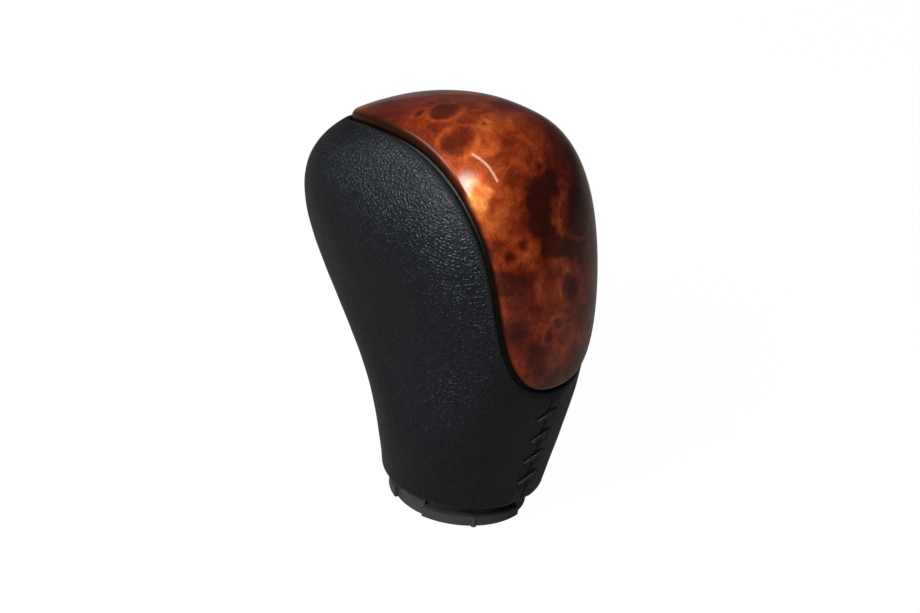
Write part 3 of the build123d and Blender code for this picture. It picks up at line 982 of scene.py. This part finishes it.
# Dark and light colours of the thread, the two plastics and the brass
THREAD_COLOURS = ((0.014, 0.0145, 0.016), (0.04, 0.041, 0.045))
COLLAR_COLOURS = ((0.034, 0.0385, 0.0385), (0.047, 0.052, 0.0515))
CORE_COLOURS = ((0.012, 0.012, 0.013), (0.02, 0.02, 0.021))
BRASS_COLOURS = ((0.55, 0.36, 0.13), (0.78, 0.57, 0.27))
COLLAR_ROUGHNESS = 0.42
CORE_ROUGHNESS = 0.5

# Noise values at which the dark and the light colour are reached
COLOUR_STOPS = (0.3, 0.7)


def thread_material():
    """Waxed black thread, fibrous along its plies."""
    s = Shader("waxed_thread")
    fibres = s.noise(s.place(), scale=6.0, detail=3.0, roughness=0.6)
    return s.finish(
        Base_Color=s.ramp(fibres, tuple(zip(COLOUR_STOPS, THREAD_COLOURS))),
        Roughness=s.weighed(0.16, (fibres, 0.2)), Normal=s.bumps(fibres, strength=0.4, distance=0.05))


def plastic_material(name, colours, roughness):
    """Moulded plastic with a fine spark-eroded texture and slight clouding."""
    s = Shader(name)
    place = s.place()
    grain = s.noise(place, scale=5.0, roughness=0.6)
    cloud = s.noise(place, scale=0.3, detail=3.0)
    return s.finish(
        Base_Color=s.ramp(cloud, tuple(zip(COLOUR_STOPS, colours))),
        Roughness=s.weighed(roughness, (grain, 0.16)), Normal=s.bumps(grain, strength=0.25, distance=0.04))


def brass_material():
    """Turned brass with fine lathe lines about the bore."""
    s = Shader("turned_brass")
    lengthwise = s.vector("MULTIPLY", s.place(), (0.05, 0.05, 1.0))
    lines = s.noise(lengthwise, scale=6.0, roughness=0.6)
    return s.finish(
        Base_Color=s.ramp(lines, tuple(zip(COLOUR_STOPS, BRASS_COLOURS))), Metallic=1.0,
        Roughness=s.weighed(0.2, (lines, 0.2)), Normal=s.bumps(lines, strength=0.2, distance=0.05))


def dress_node(node, material):
    """Gives a CAD node its material."""
    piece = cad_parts[node]
    piece.data.materials.clear()
    piece.data.materials.append(material)


# Camera of the photograph: a 920 by 613 frame
FRAME_WIDTH_PX = 920
FOCAL_PX = 2120.24
SENSOR_MM = 36.0
CAMERA_AZIMUTH = 40.63
CAMERA_ELEVATION = 26.51
CAMERA_ROLL = 7.04
CAMERA_DISTANCE = 427.8
CAMERA_TARGET = (-5.92, 0.0, 39.98)

# Lamps: azimuth and elevation in degrees, distance and size in metres, power in watts, and colour
KEY_SOFTBOX = {"azimuth": 6.0, "elevation": 34.0, "distance": 1.0, "size": (0.5, 0.68), "power": 10.0,
               "colour": (1.0, 0.96, 0.93)}
SIDE_SOFTBOX = {"azimuth": -37.0, "elevation": 35.0, "distance": 1.0, "size": (1.0, 0.42), "power": 3.3,
                "colour": (0.93, 0.97, 1.0)}
OVERHEAD_STRIP = {"azimuth": 25.0, "elevation": 59.0, "distance": 1.15, "size": (1.0, 0.05), "power": 3.0,
                  "colour": (1.0, 0.85, 0.68)}
STRIP_TURN = -30.0

# Share of a softbox's width, from each side, over which its cloth fades
SOFT_EDGE = 0.45

# Dim surround
SURROUND_COLOUR = (0.92, 0.96, 1.0, 1)
SURROUND_STRENGTH = 0.065

# Floor: half its side and its drop under the part in metres, its grey, its white, and the white's shares
FLOOR_HALF = 4.0
FLOOR_DROP = 0.00005
FLOOR_GREY = (0.17, 0.17, 0.17, 1)
FLOOR_WHITE = 1.13
FLOOR_WHITE_SHARE = 0.87
FLOOR_GLOSSY_SHARE = 0.1


def direction(azimuth, elevation):
    """Direction from the knob; azimuth 0 is towards -Y and 90 towards +X."""
    a, e = math.radians(azimuth), math.radians(elevation)
    return Vector((math.sin(a) * math.cos(e), -math.cos(a) * math.cos(e), math.sin(e)))


def make_camera():
    """Camera at the photograph's viewing angle."""
    back = direction(CAMERA_AZIMUTH, CAMERA_ELEVATION)
    level_right = Vector((-back.y, back.x, 0)).normalized()
    level_up = back.cross(level_right)
    roll = math.radians(CAMERA_ROLL)
    right = level_right * math.cos(roll) + level_up * math.sin(roll)
    up = level_up * math.cos(roll) - level_right * math.sin(roll)
    data = bpy.data.cameras.new("photo_camera")
    data.sensor_width = SENSOR_MM
    data.lens = FOCAL_PX * SENSOR_MM / FRAME_WIDTH_PX
    camera = bpy.data.objects.new("photo_camera", data)
    bpy.context.scene.collection.objects.link(camera)
    turn = Matrix((right, up, back)).transposed().to_4x4()
    place = (Vector(CAMERA_TARGET) + back * CAMERA_DISTANCE) * MM
    camera.matrix_world = Matrix.Translation(place) @ turn
    bpy.context.scene.camera = camera


def make_lamp(name, azimuth, elevation, distance, size, power, colour):
    """Soft rectangular lamp, aimed at the knob; distance and size are in metres."""
    data = bpy.data.lights.new(name, "AREA")
    data.shape = "RECTANGLE"
    data.size, data.size_y = size
    data.energy = power
    data.color = colour
    lamp = bpy.data.objects.new(name, data)
    bpy.context.scene.collection.objects.link(lamp)
    aim = direction(azimuth, elevation)
    lamp.location = Vector((0, 0, CHEEK_HEIGHT * MM)) + aim * distance
    lamp.rotation_euler = aim.to_track_quat("Z", "Y").to_euler()
    return lamp


def soften(lamp):
    """Lets a lamp fade towards its edges, as a softbox's cloth does, at the same power."""
    lamp.data.use_nodes = True
    graph = Graph(lamp.data.node_tree)
    axes = graph.add("SeparateXYZ", {0: graph.add("NewGeometry").outputs["Parametric"]})
    strength = 1 / (1 - SOFT_EDGE) ** 2
    for axis in ("X", "Y"):
        for low, high in ((0.0, SOFT_EDGE), (1.0, 1.0 - SOFT_EDGE)):
            strength = graph.math("MULTIPLY", graph.remap(axes.outputs[axis], low, high), strength)
    graph.put(graph.tree.nodes["Emission"].inputs["Strength"], strength)


def make_light():
    """Key softbox, a wide one at the left, a thin strip overhead and a dim surround."""
    soften(make_lamp("key_softbox", **KEY_SOFTBOX))
    soften(make_lamp("side_softbox", **SIDE_SOFTBOX))
    strip = make_lamp("overhead_strip", **OVERHEAD_STRIP)
    strip.rotation_euler.rotate_axis("Z", math.radians(STRIP_TURN))
    world = bpy.data.worlds.new("studio")
    world.use_nodes = True
    backdrop = world.node_tree.nodes["Background"]
    backdrop.inputs["Color"].default_value = SURROUND_COLOUR
    backdrop.inputs["Strength"].default_value = SURROUND_STRENGTH
    bpy.context.scene.world = world


def make_floor():
    """Floor that keeps the knob's shadow: white to the camera and through glass, a tenth of it in gloss."""
    mesh = bpy.data.meshes.new("floor")
    signs = ((-1, -1), (1, -1), (1, 1), (-1, 1))
    corners = [(x * FLOOR_HALF, y * FLOOR_HALF, -FLOOR_DROP) for x, y in signs]
    mesh.from_pydata(corners, [], [(0, 1, 2, 3)])
    s = Shader("pale_floor")
    s.finish(Base_Color=FLOOR_GREY, Roughness=0.9, Specular_IOR_Level=0.1)
    rays = s.add("LightPath").outputs
    glossy = s.math("MULTIPLY", rays["Is Glossy Ray"], FLOOR_GLOSSY_SHARE)
    seen = s.most([rays["Is Camera Ray"], rays["Is Transmission Ray"], glossy])
    share = s.math("MULTIPLY", seen, FLOOR_WHITE_SHARE)
    white = s.add("Emission", {"Color": (1, 1, 1, 1), "Strength": FLOOR_WHITE})
    both = s.add("MixShader", {0: share, 1: s.surface.outputs[0], 2: white.outputs[0]})
    s.put(s.tree.nodes["Material Output"].inputs["Surface"], both.outputs[0])
    mesh.materials.append(s.material)
    floor = bpy.data.objects.new("floor", mesh)
    bpy.context.scene.collection.objects.link(floor)


leather_piece(leather_material())
wood_piece(burl_material())
lacing_piece(thread_material())
dress_node("base_collar", plastic_material("collar_plastic", COLLAR_COLOURS, COLLAR_ROUGHNESS))
dress_node("grip_core", plastic_material("core_plastic", CORE_COLOURS, CORE_ROUGHNESS))
dress_node("thread_insert", brass_material())
make_camera()
make_light()
make_floor()
bpy.context.scene.view_settings.view_transform = "Standard"

bpy.context.view_layer.update()
